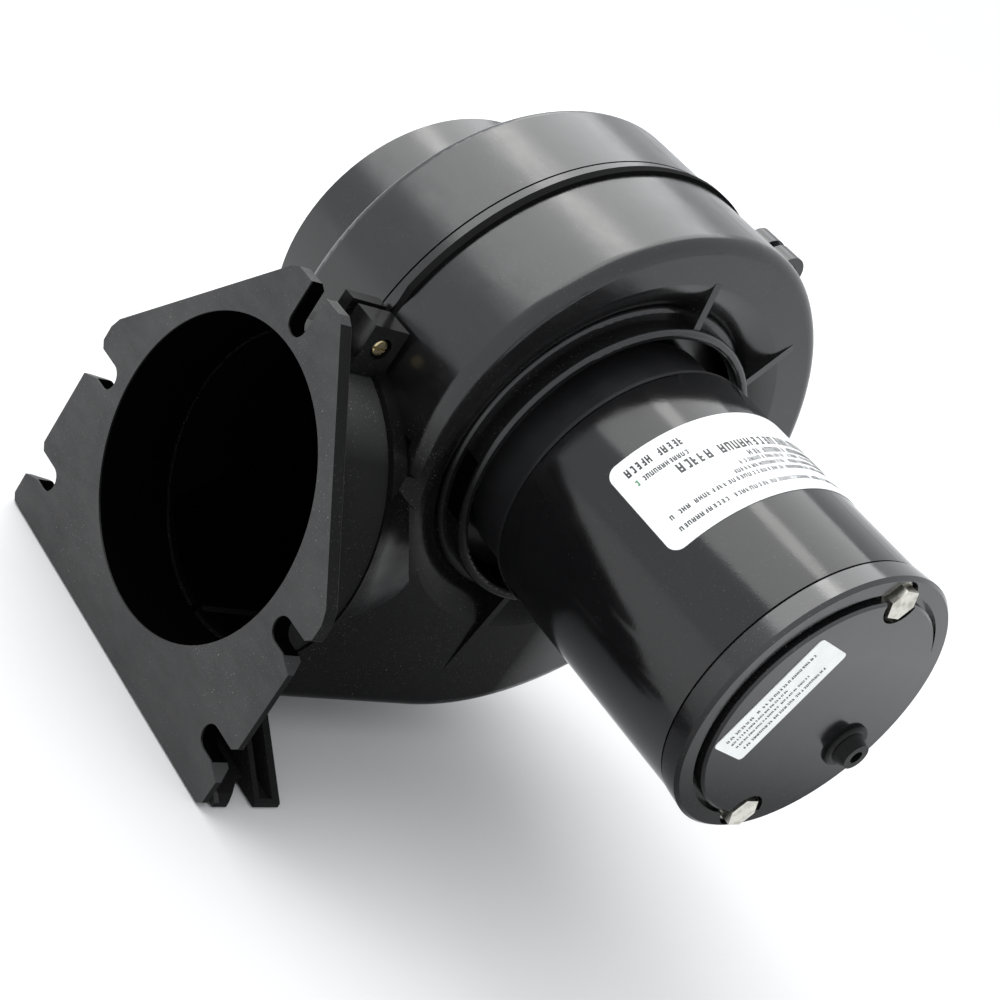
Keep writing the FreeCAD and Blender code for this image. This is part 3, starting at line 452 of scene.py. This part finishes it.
def rating_print(name, rows, material, seed):
    """Made-up characters in rows that run round the can's label."""
    build = bmesh.new()
    for number, (y, height, left, right, pitch) in enumerate(rows):
        def place(u, v, lift):
            turn, r = math.radians(-u), CAN_SKIN_R + lift
            return Vector((AXIS.x + r * math.cos(turn), y + v, AXIS.z + r * math.sin(turn)))
        print_row(build, place, -left, -right, height, pitch, seed + number)
    printed_piece(name, build, material)


# rows of the cap's label, in metres: distance from its middle line, height, ends and character pitch
SERIAL_ROWS = ((-0.0037, 0.0010, -0.0138, 0.0128, 0.00082), (-0.0014, 0.0008, -0.0138, 0.0030, 0.0007),
               (0.0009, 0.0008, -0.0138, 0.0085, 0.0007), (0.0036, 0.0010, -0.0134, 0.0118, 0.00082))


def serial_print():
    """Small rows along the cap's label."""
    low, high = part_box("serial_label")
    middle = (low + high) / 2
    along = Vector((math.sin(SERIAL_TILT), 0.0, math.cos(SERIAL_TILT)))
    across = Vector((math.cos(SERIAL_TILT), 0.0, -math.sin(SERIAL_TILT)))
    build = bmesh.new()
    for number, (offset, height, start, end, pitch) in enumerate(SERIAL_ROWS):
        def place(u, v, lift):
            return Vector((middle.x, low.y - lift, middle.z)) + along * u + across * (offset - v)
        print_row(build, place, start, end, height, pitch, SERIAL_SEED + number)
    printed_piece("serial_print", build, BLACK_INK)


BLACK_INK = ink("black_ink", (0.02, 0.02, 0.021), (0.045, 0.045, 0.047))
GREEN_INK = ink("green_ink", (0.02, 0.2, 0.075), (0.04, 0.28, 0.11))
rating_print("rating_print", RATING_ROWS, BLACK_INK, RATING_SEED)
rating_print("rating_print_green", GREEN_ROWS, GREEN_INK, GREEN_SEED)
serial_print()


# ---- softened moulded edges ---------------------------------------------------------------
EDGE_R = 0.0005
EDGE_ANGLE = math.radians(38.0)           # edges flatter than this stay as they are
WELD_GAP = 0.000004
FLAT_ANGLE = math.radians(0.6)


def soften(name):
    """Round over a moulding's sharp edges by a fraction of a millimetre."""
    obj = nodes[name]
    weld = obj.modifiers.new("weld", "WELD")
    weld.merge_threshold = WELD_GAP
    flat = obj.modifiers.new("flat", "DECIMATE")
    flat.decimate_type = "DISSOLVE"
    flat.angle_limit = FLAT_ANGLE
    bevel = obj.modifiers.new("bevel", "BEVEL")
    bevel.width = EDGE_R
    bevel.segments = 2
    bevel.limit_method = "ANGLE"
    bevel.angle_limit = EDGE_ANGLE
    bevel.use_clamp_overlap = True
    bevel.miter_outer = "MITER_ARC"
    smooth = obj.modifiers.new("smooth", "WEIGHTED_NORMAL")
    smooth.keep_sharp = True


soften("outlet_flange")


# ---- floor, lights and camera -------------------------------------------------------------
CENTRE = Vector((0.075, -0.03, 0.03))     # what the lights point at

# the camera's place and its own axes
EYE = Vector((-0.28061, -0.29216, 0.18970))
RIGHT = Vector((0.66483, -0.52108, 0.53524))
UP = Vector((-0.12128, 0.63172, 0.76565))
BACK = Vector((-0.73709, -0.57394, 0.35678))
LENS, SENSOR_W = 70.54, 36.0              # in millimetres

# the floor's tone near the object, darker there as painted shade, and paler further off between the two
# distances
FLOOR_HALF_W, FLOOR_GAP = 40.0, 0.0005
FLOOR_NEAR_PAINTED_SHADE = ((0.72, 0.72, 0.72), (0.75, 0.75, 0.75))
FLOOR_FAR, FLOOR_FADE = (0.97, 0.97, 0.97), (0.5, 2.0)
FLOOR_TONE, FLOOR_ROUGHNESS = 6.0, 0.8

WORLD_COLOUR, WORLD_STRENGTH = (0.95, 0.97, 1.0, 1.0), 1.08

# softboxes: name, direction from the centre, distance, width and length, radiance and colour
SOFTBOXES = (("ceiling_softbox", (-0.05, 0.55, 0.80), 1.2, (1.9, 1.2), 2.4, (1.0, 1.0, 1.0)),
             ("key_softbox", (-0.06, 0.58, 0.81), 1.0, (0.16, 0.5), 3.5, (1.0, 0.99, 0.96)))


def soft_light(name, direction, distance, size, radiance, colour):
    """Rectangular softbox that faces the object from one direction."""
    data = bpy.data.lights.new(name, "AREA")
    data.shape = "RECTANGLE"
    data.size, data.size_y = size
    data.energy = radiance * math.pi * size[0] * size[1]
    data.color = colour
    lamp = bpy.data.objects.new(name, data)
    bpy.context.scene.collection.objects.link(lamp)
    lamp.location = CENTRE + Vector(direction).normalized() * distance
    lamp.rotation_euler = (CENTRE - lamp.location).to_track_quat("-Z", "Y").to_euler()


def floor():
    """Pale floor with painted shade: darker near the object, paler away from it, just under its lowest
    point.
    """
    mesh = bpy.data.meshes.new("floor")
    build = bmesh.new()
    bmesh.ops.create_grid(build, x_segments=2, y_segments=2, size=FLOOR_HALF_W)
    build.to_mesh(mesh)
    build.free()
    plane = bpy.data.objects.new("floor", mesh)
    bpy.context.scene.collection.objects.link(plane)
    plane.location.z = cad_box[0][2] - FLOOR_GAP
    g = Graph("floor_paper")
    # painted shade: the floor is darker near the object
    near_painted_shade = g.ramp(g.noise(FLOOR_TONE, 3.0), "Fac", *SPREAD, *FLOOR_NEAR_PAINTED_SHADE), "Color"
    length = g.add("ShaderNodeVectorMath", operation="LENGTH")
    g.link(g.coord, "Object", length, 0)
    away = g.remap(length, "Value", *FLOOR_FADE, 0.0, 1.0), "Result"
    g.link(*g.mix(away, near_painted_shade, FLOOR_FAR), g.shader, "Base Color")
    g.shader.inputs["Roughness"].default_value = FLOOR_ROUGHNESS
    mesh.materials.append(g.material)


def studio():
    """Bright surroundings, a wide ceiling softbox and a narrower, stronger one inside it."""
    floor()
    world = bpy.data.worlds.new("studio")
    world.use_nodes = True
    back = world.node_tree.nodes["Background"]
    back.inputs["Color"].default_value = WORLD_COLOUR
    back.inputs["Strength"].default_value = WORLD_STRENGTH
    bpy.context.scene.world = world
    bpy.context.scene.view_settings.view_transform = "Standard"
    for softbox in SOFTBOXES:
        soft_light(*softbox)


def camera():
    """Camera at the angle from which the flange, the motor and both labels are seen."""
    data = bpy.data.cameras.new("camera")
    data.lens = LENS
    data.sensor_width = SENSOR_W
    data.clip_start = 0.01
    eye = bpy.data.objects.new("camera", data)
    bpy.context.scene.collection.objects.link(eye)
    eye.matrix_world = Matrix(((RIGHT.x, UP.x, BACK.x, EYE.x), (RIGHT.y, UP.y, BACK.y, EYE.y),
                               (RIGHT.z, UP.z, BACK.z, EYE.z), (0, 0, 0, 1)))
    bpy.context.scene.camera = eye


studio()
camera()
